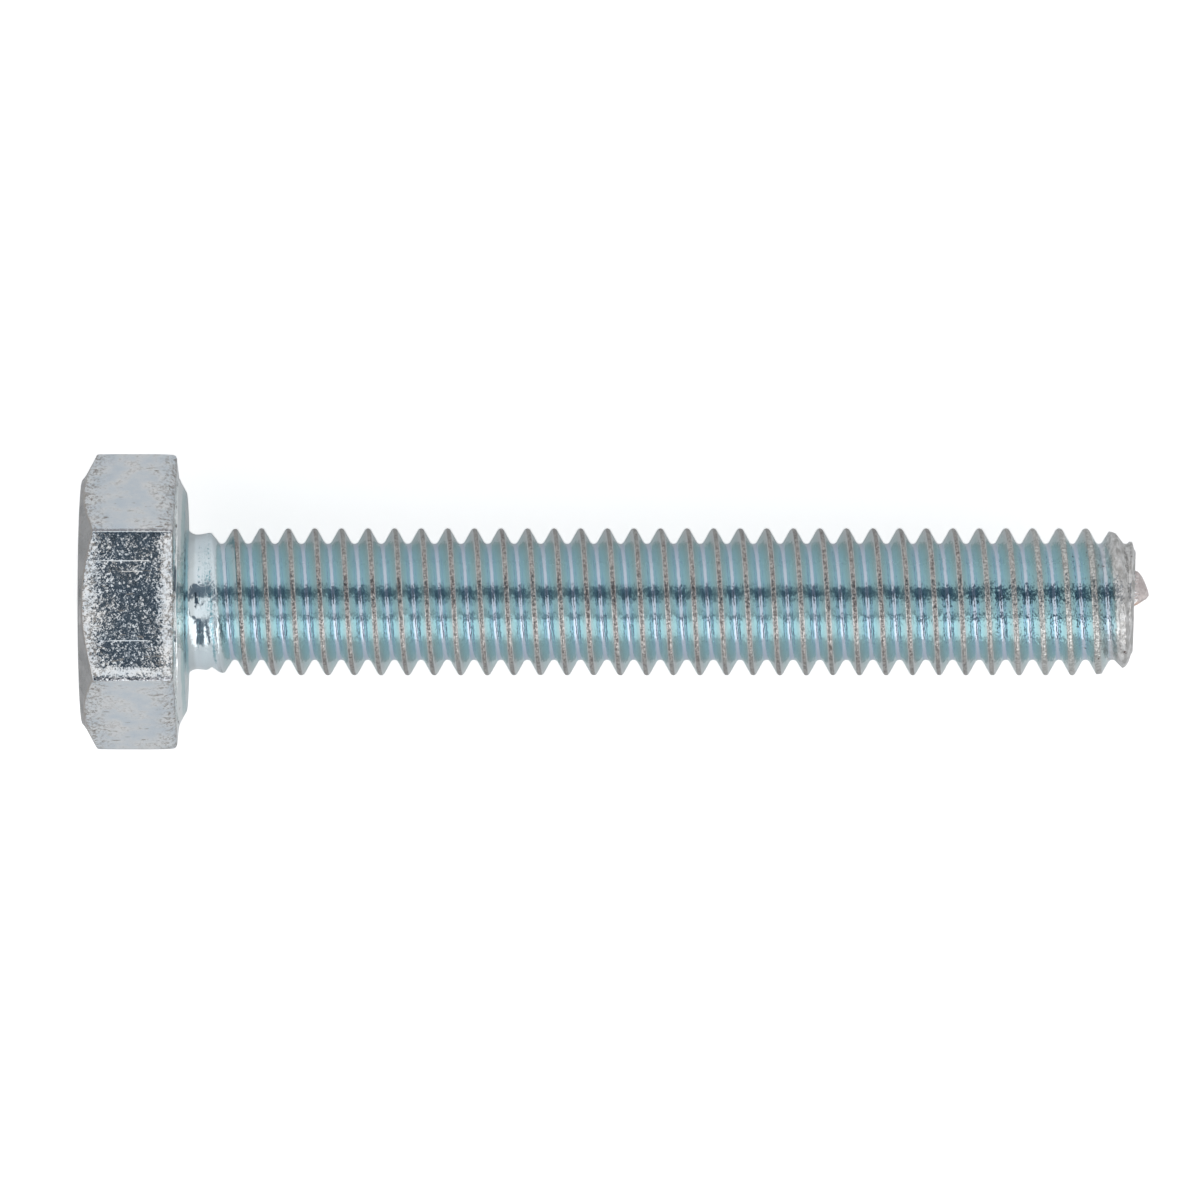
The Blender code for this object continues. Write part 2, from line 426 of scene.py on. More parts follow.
# %% [markdown]
# The wear is shaped before the mesh is made. The flats are crowned by a few degrees towards both of
# their ends and roll over beside the underside, the crests wander by a few thousandths, and the
# smeared last turn is uneven. The shears didn't cut quite square, so the end leans. The flats give
# way by at most 0.2 mm, at their lower edge, the end moves by about 0.1 mm, and the rest is about
# a hundredth, but a polished surface shows it. The crown is a list of its side, where it begins
# along the axis, and how steep it gets.

# %% Small unevenness
CREST_WANDER = 0.006
SMEAR_WANDER = 0.012
CROWN = [(-1, 0.95, 0.070), (1, 1.60, 0.060), (1, 2.22, 1.20)]
CROWNED_FROM = (3.25, 3.36)
CORNER_FROM = (3.76, 3.87)
CORNER_SPARED = 0.7
CREST_BAND = (1.80, 1.93)
SMEAR_BEGINS, SMEAR_FULL = 0.95, 0.45
END_BEGINS, END_FULL = 0.32, 0.08
NEAR_AXIS = 0.3
END_SHIFT, END_LEAN_Y, END_LEAN_Z = -0.05, 0.030, -0.037
x, y, z = skin.T
distance = np.hypot(y, z)
around = np.arctan2(z, y)
smear_place = x + 0.10 * np.sin(3 * around) + 0.11 * np.cos(around - 0.5)
smeared = fade(TIP - SMEAR_BEGINS, TIP - SMEAR_FULL, smear_place)
crowned = fade(*CROWNED_FROM, distance) * (x < BEARING)
crowned = crowned * (1 - CORNER_SPARED * fade(*CORNER_FROM, distance))


def wander(place, scale, seed):
    """Smooth noise between about -1 and 1."""
    return np.array([noise.noise(Vector(p) * scale + Vector((seed, 0, 0))) for p in place])


bow = np.zeros(len(x))
for side, begins, steep in CROWN:
    bow -= steep * np.clip(side * (x - begins), 0, None) ** 2
bow *= crowned
crest = fade(*CREST_BAND, distance) * fade(BEARING + 0.8, BEARING + 1.6, x) * (1 - smeared)
uneven = crest * CREST_WANDER * wander(skin, 2.6, 3.0)
uneven += smeared * SMEAR_WANDER * wander(skin, 5.0, 11.0)
moved = distance + bow + uneven
grown = np.where(distance > NEAR_AXIS, moved / np.maximum(distance, NEAR_AXIS), 1)
near_end = fade(TIP - END_BEGINS, TIP - END_FULL, x)
x = x + near_end * (END_SHIFT + END_LEAN_Y * y + END_LEAN_Z * z)
skin = np.stack([x, y * grown, z * grown], -1)
print("the flats give way by", round(np.abs(bow).max(), 3), "mm")
print("the rest moves by", round(np.abs(uneven).max(), 3), "mm")

# %% [markdown]
# Blender builds a mesh straight from lists of points and faces, here turned into metres. Checking it
# with validate() afterwards drops any face that isn't a proper one.

# %% Make the object
mesh = bpy.data.meshes.new("plated_screw")
mesh.from_pydata((skin * MM).tolist(), [], faces)
mesh.validate()
screw = bpy.data.objects.new("plated_screw", mesh)
bpy.context.scene.collection.objects.link(screw)
print("made", len(mesh.polygons), "faces")

# %% [markdown]
# ## Clean normals
# Recalculating turns all faces outwards. The Weighted Normal modifier then lets the large flats
# decide the shading beside the small roundings, so that a flat looks flat right up to its edge.

# %% Normals
cleaner = bmesh.new()
cleaner.from_mesh(mesh)
bmesh.ops.recalc_face_normals(cleaner, faces=cleaner.faces[:])
open_edges = sum(not edge.is_manifold for edge in cleaner.edges)
volume = cleaner.calc_volume() / MM**3
cleaner.to_mesh(mesh)
cleaner.free()
mesh.shade_smooth()
weighted = screw.modifiers.new("flat_flats", "WEIGHTED_NORMAL")
weighted.weight = 90
print("open edges:", open_edges, " volume:", round(volume, 2), "mm3")

# %% [markdown]
# ## Numbers for the plating
# A material can read any number that the points keep, and these points keep six. The distance from
# the crest drives the bands of colour on the thread, and a second number holds them back on the
# neck. The smear number turns the last turn grey. The other three are for the hexagon: its worn
# edges, the stains beside them, and the painted dark line along its corners, which is painted shade
# in place of a dark reflection.

# %% Keep the numbers on the points
def keep(name, values):
    """Stores one number per point under a name that a material can read."""
    attribute = mesh.attributes.new(name, "FLOAT", "POINT")
    attribute.data.foreach_set("value", values.astype(np.float32))


x, y, z = skin.T
turn_here = np.arctan2(z, y) / math.tau
distance = np.hypot(y, z)
on_thread = fade(BEARING + 0.75, BEARING + 1.15, x)
keep("beside_crest", beside_crest(x, turn_here) / PITCH)
keep("on_thread", on_thread)
keep("smeared", smeared)

# %% [markdown]
# The hexagon's edges are where the chamfer and the underside cut the flats, so their distance comes
# from the same two lines that shaped them. The first columns of each rounding carry a painted dark
# line: painted shade that stands in for a dark reflection along the corner.

# %% The hexagon's edges
EDGE_WIDTH = 0.07
STAIN_WIDTH = 0.40
HEXAGON_FROM = (3.15, 3.30)
# How many columns of each rounding carry the painted dark line, painted shade in place of a
# reflection.
PAINTED_SHADE_COLUMNS = 3


def hexagon_radius(turn):
    """The hexagon's radius at any turn."""
    return np.interp(turn, TURNS, HEXAGON, period=1)


outer = hexagon_radius(turn_here)
to_edge = np.minimum(np.abs(x - chamfer_line(outer)), np.abs(x - lower_line(outer)))
on_hexagon = fade(*HEXAGON_FROM, distance) * (x < BEARING)
keep("edge", on_hexagon * np.clip(1 - to_edge / EDGE_WIDTH, 0, 1))
keep("stained", on_hexagon * np.exp(-to_edge / STAIN_WIDTH))
# Painted shade: the first columns of each rounding are marked for a dark line that stands in for a
# reflection.
into_rounding = np.arange(COLUMNS) % len(one_flat) - (len(one_flat) - len(rounded))
has_painted_shade = (into_rounding > 0) & (into_rounding <= PAINTED_SHADE_COLUMNS)
keep("corner", on_hexagon * np.interp(turn_here, TURNS, has_painted_shade.astype(float), period=1))

# %% [markdown]
# ## Zinc and its blue film
# All materials share a few habits: they work in millimetres, they are metal, and their grain is
# made of crystals. The helpers below keep the recipes short.

# %% Start a material
def plating(name):
    """A new metal, with the places on the screw in millimetres."""
    material = bpy.data.materials.new(name)
    material.use_nodes = True
    tree = material.node_tree
    shader = tree.nodes["Principled BSDF"]
    shader.inputs["Metallic"].default_value = 1.0
    coordinates = tree.nodes.new("ShaderNodeTexCoord")
    return material, tree, shader, scaled(tree, coordinates.outputs["Object"], 1 / MM)


def scaled(tree, places, factor):
    """A vector times a number, or times three numbers."""
    node = tree.nodes.new("ShaderNodeVectorMath")
    node.operation = "MULTIPLY"
    node.inputs[1].default_value = factor if isinstance(factor, tuple) else (factor,) * 3
    tree.links.new(places, node.inputs[0])
    return node.outputs[0]


def summed(tree, first, second):
    """Two vectors added."""
    node = tree.nodes.new("ShaderNodeVectorMath")
    tree.links.new(first, node.inputs[0])
    tree.links.new(second, node.inputs[1])
    return node.outputs[0]


# %% Noise, numbers and mixes
def grain(tree, places, scale, detail=2.0, roughness=0.5):
    """Noise from 0 to 1, with about scale lumps to the millimetre."""
    node = tree.nodes.new("ShaderNodeTexNoise")
    node.inputs["Scale"].default_value = scale
    node.inputs["Detail"].default_value = detail
    node.inputs["Roughness"].default_value = roughness
    tree.links.new(places, node.inputs["Vector"])
    return node.outputs["Fac"]


def number(tree, name):
    """A number that the points keep."""
    node = tree.nodes.new("ShaderNodeAttribute")
    node.attribute_name = name
    return node.outputs["Fac"]


def between(tree, value, low, high, to_low=0.0, to_high=1.0):
    """value moved from one range to another, smoothly and held at both ends."""
    node = tree.nodes.new("ShaderNodeMapRange")
    node.interpolation_type = "SMOOTHSTEP"
    node.inputs["From Min"].default_value = low
    node.inputs["From Max"].default_value = high
    node.inputs["To Min"].default_value = to_low
    node.inputs["To Max"].default_value = to_high
    tree.links.new(value, node.inputs["Value"])
    return node.outputs["Result"]


def combine(tree, operation, first, second):
    """Arithmetic on two outputs, or on an output and a plain number."""
    node = tree.nodes.new("ShaderNodeMath")
    node.operation = operation
    for socket, value in zip(node.inputs, (first, second)):
        if isinstance(value, (int, float)):
            socket.default_value = value
        else:
            tree.links.new(value, socket)
    return node.outputs[0]


def blend(tree, share, first, second):
    """From the first colour to the second. A colour is an output or three numbers."""
    node = tree.nodes.new("ShaderNodeMix")
    node.data_type = "RGBA"
    tree.links.new(share, node.inputs["Factor"])
    for socket, colour in ((node.inputs[6], first), (node.inputs[7], second)):
        if isinstance(colour, tuple):
            socket.default_value = (*colour, 1)
        else:
            tree.links.new(colour, socket)
    return node.outputs[2]


# %% [markdown]
# ### Crystals
# Bright zinc is a crust of tiny crystals, and each one is a flat mirror with its own lean. Noise as
# bump only makes soft dimples. So the crystals are the cells of a Voronoi texture instead: a cell's
# random colour, less a half, is a small vector that leans the surface's normal. Warping the places
# first keeps the cells from looking like paving.

# %% Crystals
def crystals(tree, places, per_mm, lean, share=None):
    """How a crust of crystals leans the normal. lean is about the tangent of the steepest."""
    warp = tree.nodes.new("ShaderNodeTexNoise")
    warp.inputs["Scale"].default_value = per_mm * 0.9
    tree.links.new(places, warp.inputs["Vector"])
    cells = tree.nodes.new("ShaderNodeTexVoronoi")
    cells.inputs["Scale"].default_value = per_mm
    warped = summed(tree, places, scaled(tree, warp.outputs["Color"], 1.2 / per_mm))
    tree.links.new(warped, cells.inputs["Vector"])
    centred = tree.nodes.new("ShaderNodeVectorMath")
    centred.operation = "SUBTRACT"
    centred.inputs[1].default_value = (0.5, 0.5, 0.5)
    tree.links.new(cells.outputs["Color"], centred.inputs[0])
    leaning = scaled(tree, centred.outputs[0], 2 * lean)
    if share is not None:
        weighted = tree.nodes.new("ShaderNodeVectorMath")
        weighted.operation = "SCALE"
        tree.links.new(leaning, weighted.inputs[0])
        tree.links.new(share, weighted.inputs["Scale"])
        leaning = weighted.outputs[0]
    return leaning


def lean_surface(tree, shader, *leanings, heights=None, depth=0.0):
    """Sets the shader's normal: the surface's own, bumped by heights, then leaned."""
    if heights is None:
        normal = tree.nodes.new("ShaderNodeNewGeometry").outputs["Normal"]
    else:
        bump = tree.nodes.new("ShaderNodeBump")
        bump.inputs["Distance"].default_value = depth * MM
        tree.links.new(heights, bump.inputs["Height"])
        normal = bump.outputs["Normal"]
    for leaning in leanings:
        normal = summed(tree, normal, leaning)
    unit = tree.nodes.new("ShaderNodeVectorMath")
    unit.operation = "NORMALIZE"
    tree.links.new(normal, unit.inputs[0])
    tree.links.new(unit.outputs[0], shader.inputs["Normal"])


# %% [markdown]
# ### The hexagon's flats
# Where a flat faces a dark part of the room, each crystal that leans towards a lamp flashes white,
# which gives a navy surface full of sparks. Near the edges the passivation dried in brownish veins,
# a broken dark line of painted shade along each corner stands in for a dark reflection, and handling
# left a few scratches along the screw.
# A scratch is a thin line that leans the surface sideways: where it starts, where it ends, how high
# on the flat it lies, and half its width.

# %% Flats
SCRATCHES = [(0.50, 1.95, 1.127, 0.018), (1.10, 1.75, 0.85, 0.014), (0.80, 1.90, -0.96, 0.017)]


def scratches(tree, apart, places):
    """Where the scratches are, from 0 to 1."""
    centred = combine(tree, "SUBTRACT", grain(tree, places, 5.0), 0.5)
    ragged = combine(tree, "MULTIPLY", centred, 0.02)
    height = combine(tree, "ADD", apart.outputs["Y"], ragged)
    total = 0.0
    for begins, ends, at, half_width in SCRATCHES:
        off_line = combine(tree, "ABSOLUTE", combine(tree, "SUBTRACT", height, at), 0.0)
        line = between(tree, off_line, half_width * 0.4, half_width, 1.0, 0.0)
        for low, high in ((begins, begins + 0.1), (ends, ends - 0.1)):
            line = combine(tree, "MULTIPLY", line, between(tree, apart.outputs["X"], low, high))
        total = combine(tree, "ADD", total, line)
    return total


def flats_material():
    """Sparkling crystals with stained edges, painted dark shade along the corners and scratches."""
    material, tree, shader, places = plating("zinc_on_the_flats")
    apart = tree.nodes.new("ShaderNodeSeparateXYZ")
    tree.links.new(places, apart.inputs[0])
    cloud = grain(tree, places, 1.7, 4.0, 0.6)
    centred = combine(tree, "SUBTRACT", grain(tree, places, 3.6, 5.0, 0.7), 0.5)
    vein = between(tree, combine(tree, "ABSOLUTE", centred, 0.0), 0.0, 0.035, 1.0, 0.0)
    fine = between(tree, grain(tree, places, 10.0, 4.0, 0.7), 0.46, 0.62)
    near_edge = between(tree, number(tree, "stained"), 0.10, 0.80)
    patches = between(tree, cloud, 0.46, 0.62)
    share = combine(tree, "ADD", near_edge, combine(tree, "MULTIPLY", patches, 0.4))
    stain = combine(tree, "MULTIPLY", fine, share)
    stain = combine(tree, "MULTIPLY", stain, combine(tree, "ADD", vein, 0.60))
    flecks = between(tree, grain(tree, scaled(tree, places, (2.2, 9.0, 9.0)), 1.0, 2.0), 0.68, 0.72)
    stain = combine(tree, "ADD", stain, combine(tree, "MULTIPLY", flecks, 0.8))
    stain = combine(tree, "MINIMUM", stain, 1.0)
    colour = blend(tree, between(tree, cloud, 0.3, 0.7), (0.64, 0.705, 0.765), (0.82, 0.83, 0.835))
    colour = blend(tree, stain, colour, (0.30, 0.28, 0.26))
    edge = combine(tree, "MULTIPLY", number(tree, "edge"), between(tree, fine, 0.0, 1.0, 0.55, 1.0))
    colour = blend(tree, between(tree, edge, 0.2, 0.9), colour, (0.40, 0.37, 0.35))
    # Painted shade: a broken dark line on each corner stands in for a dark reflection there.
    painted_corner_shade = between(tree, grain(tree, places, 14.0, 2.0), 0.35, 0.55, 0.45, 1.0)
    painted_corner_shade = combine(tree, "MULTIPLY", number(tree, "corner"), painted_corner_shade)
    colour = blend(tree, painted_corner_shade, colour, (0.24, 0.24, 0.26))
    tree.links.new(colour, shader.inputs["Base Color"])
    tree.links.new(between(tree, stain, 0.0, 1.0, 0.10, 0.40), shader.inputs["Roughness"])
    lined = scratches(tree, apart, places)
    tilt = tree.nodes.new("ShaderNodeCombineXYZ")
    tree.links.new(combine(tree, "MULTIPLY", lined, -0.13), tilt.inputs["Y"])
    unworn = between(tree, lined, 0.0, 1.0, 1.0, 0.25)
    coarse = crystals(tree, places, 16.0, 0.045, unworn)
    small = crystals(tree, places, 30.0, 0.060, unworn)
    lean_surface(tree, shader, coarse, small, tilt.outputs[0])
    return material


# %% [markdown]
# ### The top, the chamfer and the underside
# The punch leaves the top face matt. Under the head the film lies thicker, because the
# dip drains slowly out of the corner between the washer face and the neck, so it turns blue there.
# The bands are set by the distance along the axis, and noise makes their borders ragged.

# %% Top and chamfer
def top_material():
    """Matt, cloudy zinc with fine spots and brownish edges."""
    material, tree, shader, places = plating("zinc_on_the_top")
    cloud = grain(tree, places, 1.6, 5.0, 0.6)
    colour = blend(tree, between(tree, cloud, 0.35, 0.65), (0.33, 0.335, 0.34), (0.42, 0.42, 0.425))
    spots = between(tree, grain(tree, places, 8.0, 4.0, 0.7), 0.52, 0.66)
    colour = blend(tree, combine(tree, "MULTIPLY", spots, 0.7), colour, (0.30, 0.29, 0.28))
    colour = blend(tree, between(tree, number(tree, "edge"), 0.2, 0.9), colour, (0.38, 0.36, 0.34))
    tree.links.new(colour, shader.inputs["Base Color"])
    tree.links.new(between(tree, cloud, 0.3, 0.7, 0.24, 0.34), shader.inputs["Roughness"])
    lean_surface(tree, shader, crystals(tree, places, 14.0, 0.05))
    return material


# %% Underside and neck
UNDER_BANDS = [
    (2.48, 2.53, (0.86, 0.90, 0.91)),
    (2.66, 2.70, (0.58, 0.72, 0.73)),
    (2.74, 2.76, (0.34, 0.55, 0.60)),
    (2.80, 2.86, (0.60, 0.67, 0.70)),
    (2.95, 3.05, (0.72, 0.81, 0.86)),
]


def neck_material():
    """Bands of blue film from the underside of the head down to the neck."""
    material, tree, shader, places = plating("zinc_under_the_head")
    apart = tree.nodes.new("ShaderNodeSeparateXYZ")
    tree.links.new(places, apart.inputs[0])
    cloud = grain(tree, places, 2.4, 4.0, 0.6)
    ragged = combine(tree, "MULTIPLY", combine(tree, "SUBTRACT", cloud, 0.5), 0.08)
    along_here = combine(tree, "ADD", apart.outputs["X"], ragged)
    colour = (0.68, 0.66, 0.64)
    for low, high, band in UNDER_BANDS:
        colour = blend(tree, between(tree, along_here, low, high), colour, band)
    spots = between(tree, grain(tree, places, 4.5, 4.0, 0.6), 0.64, 0.74)
    colour = blend(tree, combine(tree, "MULTIPLY", spots, 0.7), colour, (0.46, 0.42, 0.40))
    tree.links.new(colour, shader.inputs["Base Color"])
    tree.links.new(between(tree, cloud, 0.3, 0.7, 0.08, 0.16), shader.inputs["Roughness"])
    soft = grain(tree, scaled(tree, places, (9.0, 2.0, 2.0)), 1.0, 3.0, 0.6)
    lean_surface(tree, shader, crystals(tree, places, 11.0, 0.035), heights=soft, depth=0.006)
    return material


# %% [markdown]
# ### The thread
# The film is thickest on the flanks, where it is teal, and thinnest in the root, which stays
# lilac white. Light that enters a groove bounces three times before it leaves, which is why a pale
# tint is enough. The crest is where the metal from both flanks met during rolling, so it
# has a rough grey-brown seam. One ramp over the distance from the crest, as a share of the pitch,
# holds all these bands.

# %% Thread
BANDS = [
    (0.000, (0.32, 0.305, 0.30)),
    (0.064, (0.34, 0.32, 0.31)),
    (0.084, (0.63, 0.66, 0.67)),
    (0.150, (0.55, 0.615, 0.625)),
    (0.230, (0.485, 0.64, 0.66)),
    (0.330, (0.515, 0.685, 0.725)),
    (0.405, (0.475, 0.655, 0.72)),
    (0.435, (0.41, 0.54, 0.70)),
    (0.462, (0.51, 0.59, 0.71)),
    (0.500, (0.53, 0.61, 0.71)),
]


def thread_material():
    """The film's bands, the seam on the crests, and the grey smear with its rust at the tip."""
    material, tree, shader, places = plating("blue_film_on_the_thread")
    apart = tree.nodes.new("ShaderNodeSeparateXYZ")
    tree.links.new(places, apart.inputs[0])
    beside = number(tree, "beside_crest")
    smear = number(tree, "smeared")
    torn = grain(tree, places, 15.0, 4.0, 0.75)
    ragged = combine(tree, "MULTIPLY", combine(tree, "SUBTRACT", torn, 0.5), 0.05)
    widening = between(tree, apart.outputs["X"], TIP - 5.0, TIP - 0.5, 0.0, 0.045)
    seam_place = combine(tree, "SUBTRACT", combine(tree, "ADD", beside, ragged), widening)
    ramp = tree.nodes.new("ShaderNodeValToRGB")
    for position, colour in BANDS[1:-1]:
        ramp.color_ramp.elements.new(position).color = (*colour, 1)
    for element, (position, colour) in zip(ramp.color_ramp.elements, BANDS):
        element.position = position
        element.color = (*colour, 1)
    band_place = combine(tree, "ADD", beside, combine(tree, "MULTIPLY", ragged, 0.4))
    tree.links.new(band_place, ramp.inputs["Fac"])
    seam = between(tree, seam_place, 0.058, 0.088, 1.0, 0.0)
    lumps = between(tree, torn, 0.38, 0.62)
    seam_colour = blend(tree, lumps, (0.155, 0.14, 0.137), (0.51, 0.485, 0.47))
    towards_tip = between(tree, apart.outputs["X"], TIP - 5.0, TIP - 2.0)
    lumps = between(tree, torn, 0.36, 0.64)
    tip_colour = blend(tree, lumps, (0.30, 0.295, 0.285), (0.70, 0.695, 0.68))
    seam_colour = blend(tree, towards_tip, seam_colour, tip_colour)
    colour = blend(tree, seam, ramp.outputs["Color"], seam_colour)
    drained = between(tree, grain(tree, scaled(tree, places, (6.0, 1.2, 1.2)), 1.0, 3.0), 0.3, 0.7)
    colour = blend(tree, combine(tree, "MULTIPLY", drained, 0.14), colour, (0.60, 0.72, 0.70))
    folds = grain(tree, scaled(tree, places, (5.0, 2.0, 2.0)), 1.6, 4.0, 0.7)
    grey = blend(tree, between(tree, folds, 0.35, 0.65), (0.40, 0.395, 0.385), (0.74, 0.74, 0.74))
    colour = blend(tree, smear, colour, grey)
    rust = between(tree, grain(tree, places, 6.5, 2.0, 0.5), 0.70, 0.735)
    rust = combine(tree, "MULTIPLY", rust, between(tree, apart.outputs["X"], TIP - 1.9, TIP - 1.4))
    colour = blend(tree, rust, colour, (0.10, 0.06, 0.05))
    colour = blend(tree, number(tree, "on_thread"), (0.72, 0.82, 0.87), colour)
    tree.links.new(colour, shader.inputs["Base Color"])
    film_roughness = between(tree, apart.outputs["X"], TIP - 8.0, TIP - 2.0, 0.17, 0.05)
    worn_roughness = combine(tree, "MULTIPLY", combine(tree, "MAXIMUM", seam, smear), 0.27)
    rough = combine(tree, "MAXIMUM", film_roughness, worn_roughness)
    tree.links.new(rough, shader.inputs["Roughness"])
    worn = combine(tree, "MULTIPLY", seam, 2.6)
    worn = combine(tree, "MAXIMUM", worn, combine(tree, "MULTIPLY", smear, 1.4))
    bare = between(tree, apart.outputs["X"], TIP - 8.0, TIP - 2.0, 1.5, 2.5)
    film = crystals(tree, places, 19.0, 0.035, combine(tree, "ADD", worn, bare))
    streaks = grain(tree, scaled(tree, places, (22.0, 2.5, 2.5)), 1.0, 2.0, 0.6)
    folded = combine(tree, "MULTIPLY", combine(tree, "MULTIPLY", folds, smear), 5.0)
    heights = combine(tree, "ADD", streaks, folded)
    lean_surface(tree, shader, film, heights=heights, depth=0.0035)
    return material


# %% [markdown]
# ### The torn stub
# Torn steel is dull and grainy and takes the zinc badly, so it looks like warm stone. Its foot has
# begun to rust.

# %% Stub
def stub_material():
    """Dull torn steel with a rusty foot."""
    material, tree, shader, places = plating("torn_steel_of_the_stub")
    apart = tree.nodes.new("ShaderNodeSeparateXYZ")
    tree.links.new(places, apart.inputs[0])
    cloud = grain(tree, places, 7.0, 4.0, 0.7)
    colour = blend(tree, between(tree, cloud, 0.35, 0.65), (0.55, 0.49, 0.48), (0.76, 0.70, 0.69))
    foot = between(tree, apart.outputs["Y"], 0.05, -0.08)
    colour = blend(tree, combine(tree, "MULTIPLY", foot, 0.6), colour, (0.62, 0.38, 0.24))
    tree.links.new(colour, shader.inputs["Base Color"])
    shader.inputs["Roughness"].default_value = 0.5
    torn = grain(tree, places, 14.0, 4.0, 0.7)
    lean_surface(tree, shader, crystals(tree, places, 12.0, 0.15), heights=torn, depth=0.012)
    return material


# %% [markdown]
# Each face gets the material of its place: the stub, the thread with the end round the stub, the
# neck and underside, the flats, and the top with its chamfer. The borders follow edges of the
# real screw.

# %% Give each face its material
NECK_FINISH_END = BEARING + 0.42
STUB_FINISH_FROM = TIP - 0.30
STUB_FOOT = 0.01
for make in (flats_material, top_material, neck_material, thread_material, stub_material):
    mesh.materials.append(make())
FLATS, TOP, UNDER, THREAD, STUB = range(5)
centres = np.empty(len(mesh.polygons) * 3, np.float32)
mesh.polygons.foreach_get("center", centres)
cx, cy, cz = centres.reshape(-1, 3).T / MM
face_outer = hexagon_radius(np.arctan2(cz, cy) / math.tau)
chosen = np.full(len(cx), THREAD)
chosen[cx < NECK_FINISH_END] = UNDER
chosen[cx < lower_line(face_outer)] = FLATS
chosen[cx < chamfer_line(face_outer)] = TOP
stub_here = stub_height(cy, cz)
is_stub = (cx > STUB_FINISH_FROM) & (stub_here > STUB_FOOT) & (np.hypot(cy, cz) < DISH_RADIUS)
chosen[is_stub] = STUB
mesh.polygons.foreach_set("material_index", chosen.astype(np.int32))
print("faces per material:", np.bincount(chosen).tolist())

# %% [markdown]
# ## Putting it in the frame
# The finished screw rides on the only body and stands for the plain solid.

# %% Ride and replace
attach(screw, "root")
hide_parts("hex_bolt")

# %% [markdown]
# ## The table top
# The screw lies on one of its flats on a light table: a sheet of white acrylic that is lit from
# below. To the camera the sheet is white. In the metal it is a grey floor, because the glow from
# below leaves it straight up and little of it reaches the screw. So the glow goes only to the rays
# that come straight from the camera.

# %% Table top
TABLE_RADIUS = 1.5
GLOW = 0.56
bpy.ops.mesh.primitive_circle_add(vertices=96, radius=TABLE_RADIUS, fill_type="NGON")
table = bpy.context.object
table.name = "table_top"
table.location = ((cad_low.x + cad_high.x) / 2, 0, cad_low.z)
acrylic = bpy.data.materials.new("white_acrylic")
acrylic.use_nodes = True
tree = acrylic.node_tree
shader = tree.nodes["Principled BSDF"]
shader.inputs["Roughness"].default_value = 0.7
coordinates = tree.nodes.new("ShaderNodeTexCoord")
shade = grain(tree, coordinates.outputs["Object"], 40.0, 2.0)
tree.links.new(blend(tree, shade, (0.87, 0.87, 0.87), (0.89, 0.89, 0.89)), shader.inputs["Base Color"])
shader.inputs["Emission Color"].default_value = (1, 1, 1, 1)
glow_path = tree.nodes.new("ShaderNodeLightPath")
tree.links.new(
    combine(tree, "MULTIPLY", glow_path.outputs["Is Camera Ray"], GLOW),
    shader.inputs["Emission Strength"],
)
table.data.materials.append(acrylic)
print("a table", 2 * TABLE_RADIUS, "m across at", round(cad_low.z / MM, 2), "mm")

# %% [markdown]
# ## A light tent
# Bright metal shows its surroundings and nothing else, so the light is really a room to be
# reflected. A studio hangs a tent of white cloth with lamps behind it round such a piece, and leaves
# dark gaps in it on purpose, because the dark bands give the metal its shape. Here the world is that
# tent. Its brightness depends on the direction: how high it points, the angle that it leans towards
# +Y, and how far it points sideways along the screw.

# %% The tent's directions
world = bpy.data.worlds.new("light_tent")
world.use_nodes = True
bpy.context.scene.world = world
tent = world.node_tree
direction = tent.nodes.new("ShaderNodeTexCoord")
apart = tent.nodes.new("ShaderNodeSeparateXYZ")
tent.links.new(direction.outputs["Generated"], apart.inputs[0])
lean = combine(tent, "ARCTAN2", apart.outputs["Y"], apart.outputs["Z"])
lean = combine(tent, "MULTIPLY", lean, math.degrees(1))
sideways = apart.outputs["X"]


def window(value, low, high, soft):
    """1 between low and high, 0 outside, with soft borders."""
    rise = between(tent, value, low - soft, low + soft)
    fall = between(tent, value, high - soft, high + soft, 1.0, 0.0)
    return combine(tent, "MULTIPLY", rise, fall)


def dimmed(brightness, where, left):
    """brightness, with only a share of it left where where is 1."""
    return combine(tent, "MULTIPLY", brightness, between(tent, where, 0.0, 1.0, 1.0, left))


# %% [markdown]
# The cloth itself is pale everywhere. Over the screw hangs a lamp; behind it is a dark gap;
# in front are a seam of the cloth and then a strong low lamp, in front of which somebody stands.

# %% The tent's brightness
CLOTH = 0.87
HORIZON = 0.76
OVERHEAD = 0.12
LOW_LAMP = 0.76
overhead = window(lean, -27, 11, 1.5)
low_lamp = window(lean, -80, -33, 2.0)
cloth = between(tent, apart.outputs["Z"], 0.05, 0.60, HORIZON, CLOTH)
brightness = combine(tent, "ADD", cloth, combine(tent, "MULTIPLY", overhead, OVERHEAD))
brightness = combine(tent, "ADD", brightness, combine(tent, "MULTIPLY", low_lamp, LOW_LAMP))
brightness = dimmed(brightness, window(lean, 9, 32, 3.0), 0.25)
brightness = dimmed(brightness, window(lean, -35, -26.5, 1.5), 0.24)
somebody = combine(tent, "MULTIPLY", low_lamp, window(sideways, -0.36, -0.031, 0.0025))
brightness = dimmed(brightness, somebody, 0.10)

# %% [markdown]
# The lens looks in through a hole in the cloth above the screw. Metal that faces almost straight up
# mirrors that dark hole, so it is one more dark place in the tent: round, with a wide soft border.

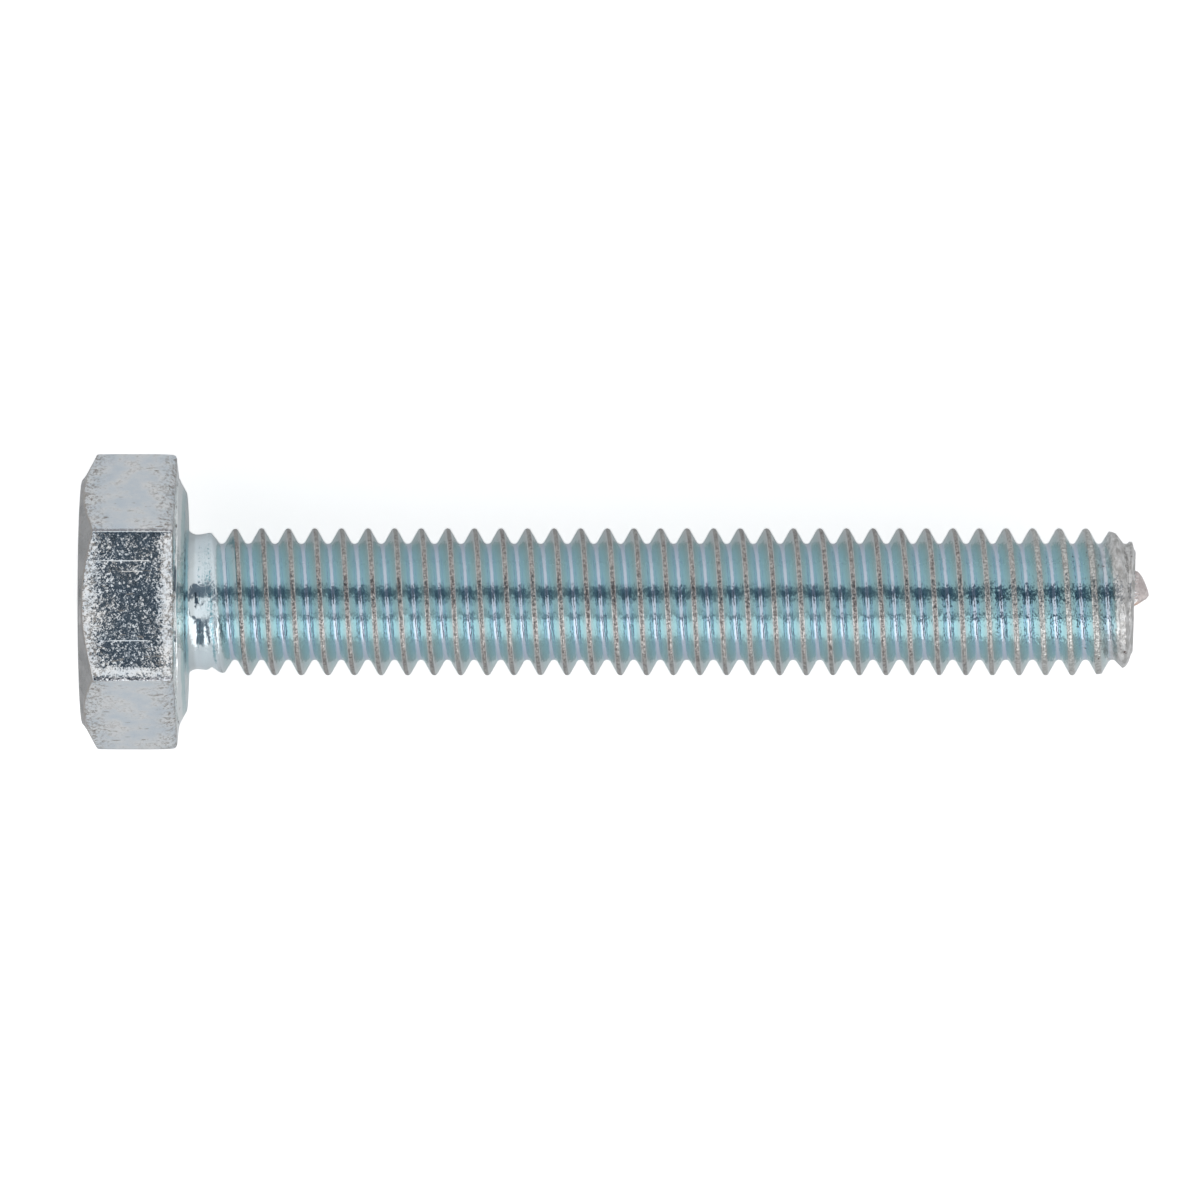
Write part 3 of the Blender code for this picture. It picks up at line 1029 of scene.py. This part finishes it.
# %% The lens
CAMERA_ALONG = BEARING + 10.88
CAMERA_DISTANCE = 353.8
CAMERA_LEAN = math.radians(0.9)
LENS_HALF_ANGLE = 12.0
LENS_BORDER = 4.5
LENS_LEAN = math.radians(4.5)
LENS_AT = (0.0, math.sin(LENS_LEAN), math.cos(LENS_LEAN))
facing = tent.nodes.new("ShaderNodeVectorMath")
facing.operation = "DOT_PRODUCT"
facing.inputs[1].default_value = LENS_AT
tent.links.new(direction.outputs["Generated"], facing.inputs[0])
lens_inside = math.cos(math.radians(LENS_HALF_ANGLE - LENS_BORDER))
lens_outside = math.cos(math.radians(LENS_HALF_ANGLE + LENS_BORDER))
lens = between(tent, facing.outputs["Value"], lens_outside, lens_inside)
brightness = dimmed(brightness, lens, 0.11)

# %% [markdown]
# What the camera sees past the table is plain white cloth, so the bands only show in the metal.

# %% Finish the world
PLAIN_WHITE = 1.1
background = tent.nodes["Background"]
tint = between(tent, brightness, 0.05, 0.6)
tent.links.new(blend(tent, tint, (0.56, 0.77, 1.0), (1.0, 1.0, 1.0)), background.inputs["Color"])
path = tent.nodes.new("ShaderNodeLightPath")
seen = tent.nodes.new("ShaderNodeMix")
tent.links.new(path.outputs["Is Camera Ray"], seen.inputs["Factor"])
tent.links.new(brightness, seen.inputs[2])
seen.inputs[3].default_value = PLAIN_WHITE
tent.links.new(seen.outputs[0], background.inputs["Strength"])
print("the tent is made of", len(tent.nodes), "nodes")

# %% [markdown]
# ## The camera
# A long lens from straight above keeps the thread's spacing even from end to end. It aims a little
# short of the screw's middle, and leans less than a degree round the axis.

# %% Camera
LENS_LENGTH = 403
SENSOR_WIDTH = 36
CAMERA_ASIDE = 0.048
camera = bpy.data.objects.new("camera", bpy.data.cameras.new("camera"))
bpy.context.scene.collection.objects.link(camera)
camera.data.lens = LENS_LENGTH
camera.data.sensor_width = SENSOR_WIDTH
camera.location = (
    CAMERA_ALONG * MM,
    (CAMERA_DISTANCE * math.sin(CAMERA_LEAN) + CAMERA_ASIDE) * MM,
    CAMERA_DISTANCE * math.cos(CAMERA_LEAN) * MM,
)
camera.rotation_euler = (-CAMERA_LEAN, 0, 0)
bpy.context.scene.camera = camera
bpy.context.scene.view_settings.view_transform = "Standard"
print("the camera is", CAMERA_DISTANCE, "mm away, over", round(CAMERA_ALONG, 2), "mm")
